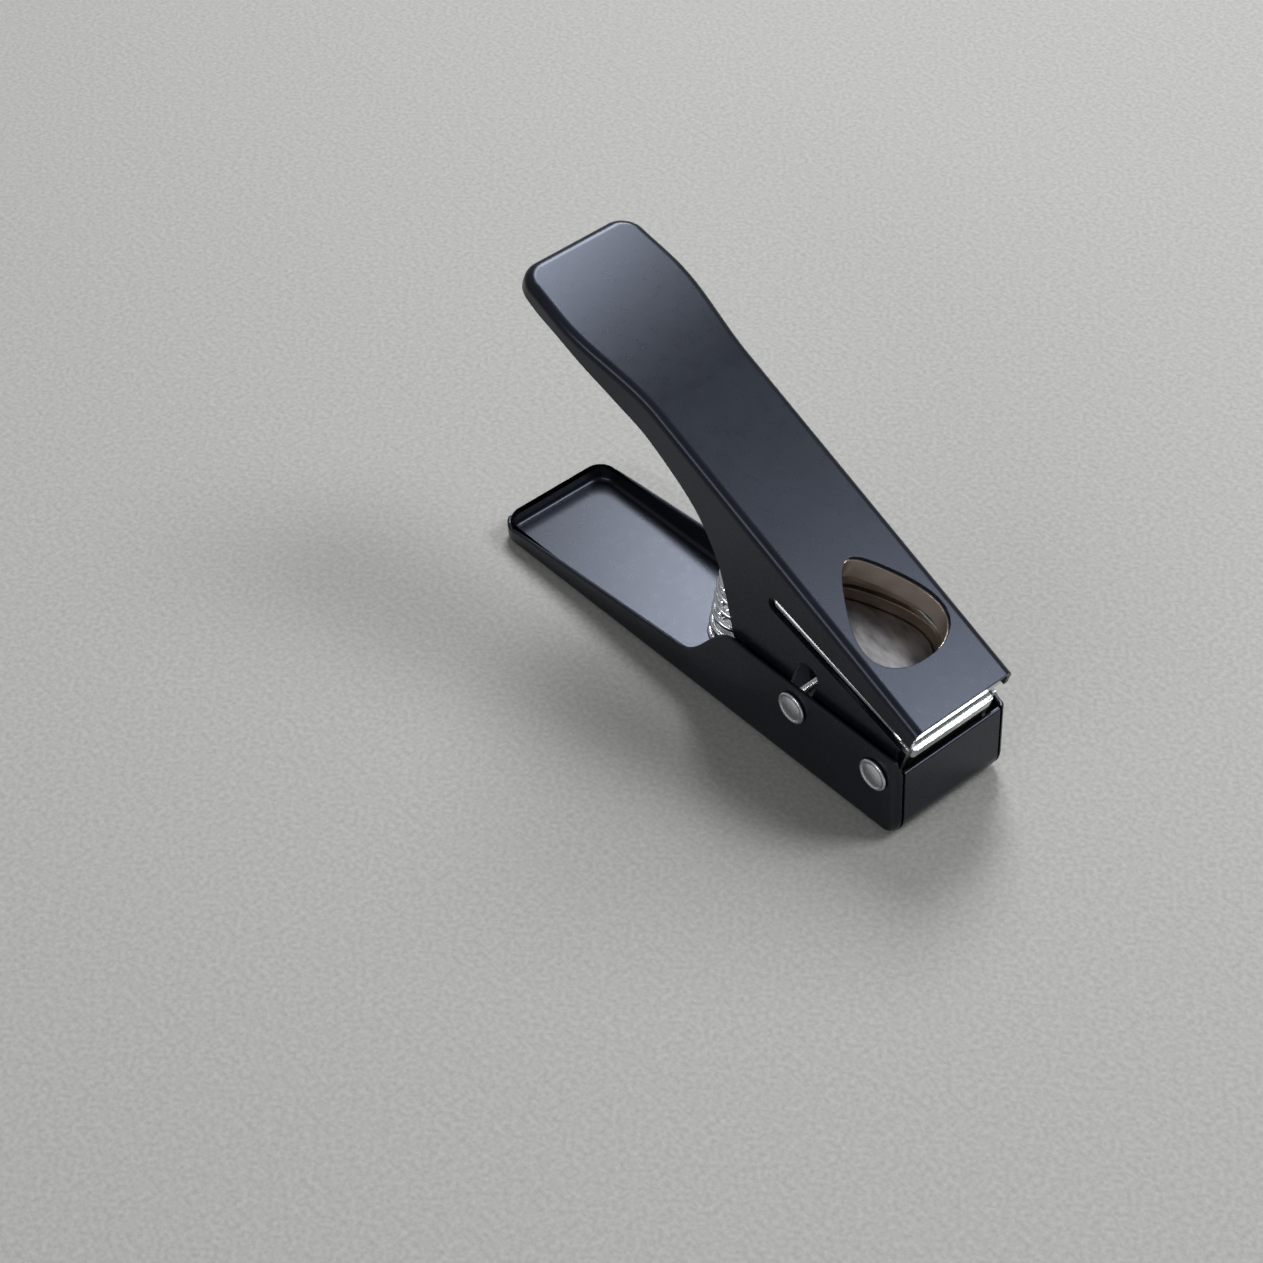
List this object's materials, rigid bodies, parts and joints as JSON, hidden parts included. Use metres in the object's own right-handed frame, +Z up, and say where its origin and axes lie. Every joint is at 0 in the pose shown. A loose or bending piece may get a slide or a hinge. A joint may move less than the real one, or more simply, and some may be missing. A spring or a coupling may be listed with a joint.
{
  "type": "guitar pick punch",
  "caption": "Hand punch that cuts guitar picks from plastic strip: a sprung black lever with a pick-shaped die, hinged on a pressed steel base.",
  "frame": {"origin": "centre of the base's flat underside", "axes": "+X along the base towards the die end, +Y to the far side of the picture, +Z up"},
  "size_m": [0.1518, 0.0386, 0.0949],
  "materials": {
    "black_paint": "satin black paint with a faint blue-grey sheen",
    "nickel_plate": "bright nickel plate",
    "ground_steel": "ground grey steel",
    "rivet_metal": "satin silver with a brighter pressed ring",
    "spring_wire": "bright plated wire",
    "plain_steel": "plain zinc-plated steel"
  },
  "bodies": {
    "base": {"base_shell": "black_paint", "pivot_rivet": "rivet_metal", "drive_rivet": "rivet_metal", "spring_foot_stud": "plain_steel", "return_spring": "spring_wire"},
    "lever": {"lever_shell": "black_paint", "pivot_sleeve": "plain_steel", "upper_die": "nickel_plate", "gap_spacer": "nickel_plate", "guide_bracket": "nickel_plate", "die_screw_near": "plain_steel", "die_screw_far": "plain_steel", "spring_top_stud": "plain_steel"},
    "punch": {"punch_head": "ground_steel", "punch_carrier": "plain_steel", "punch_screw_front": "plain_steel", "punch_screw_rear": "plain_steel"}
  },
  "joints": [
    {"name": "lever_hinge", "type": "hinge", "parent": "base", "child": "lever", "pos_m": [0.0667, 0, 0.0181], "axis": [0, -1, 0], "range_deg": [0, 23], "stiffness_Nm_per_rad": 1.5, "springref_deg": -22.92, "deforming": ["return_spring"]},
    {"name": "punch_slide", "type": "slide", "parent": "lever", "child": "punch", "axis": [0.3047, 0, 0.9524], "range_m": [0, 0.0112]}
  ],
  "couplings": [
    {"joint": "punch_slide", "follows": "lever_hinge", "m_per_rad": 0.027611}
  ]
}
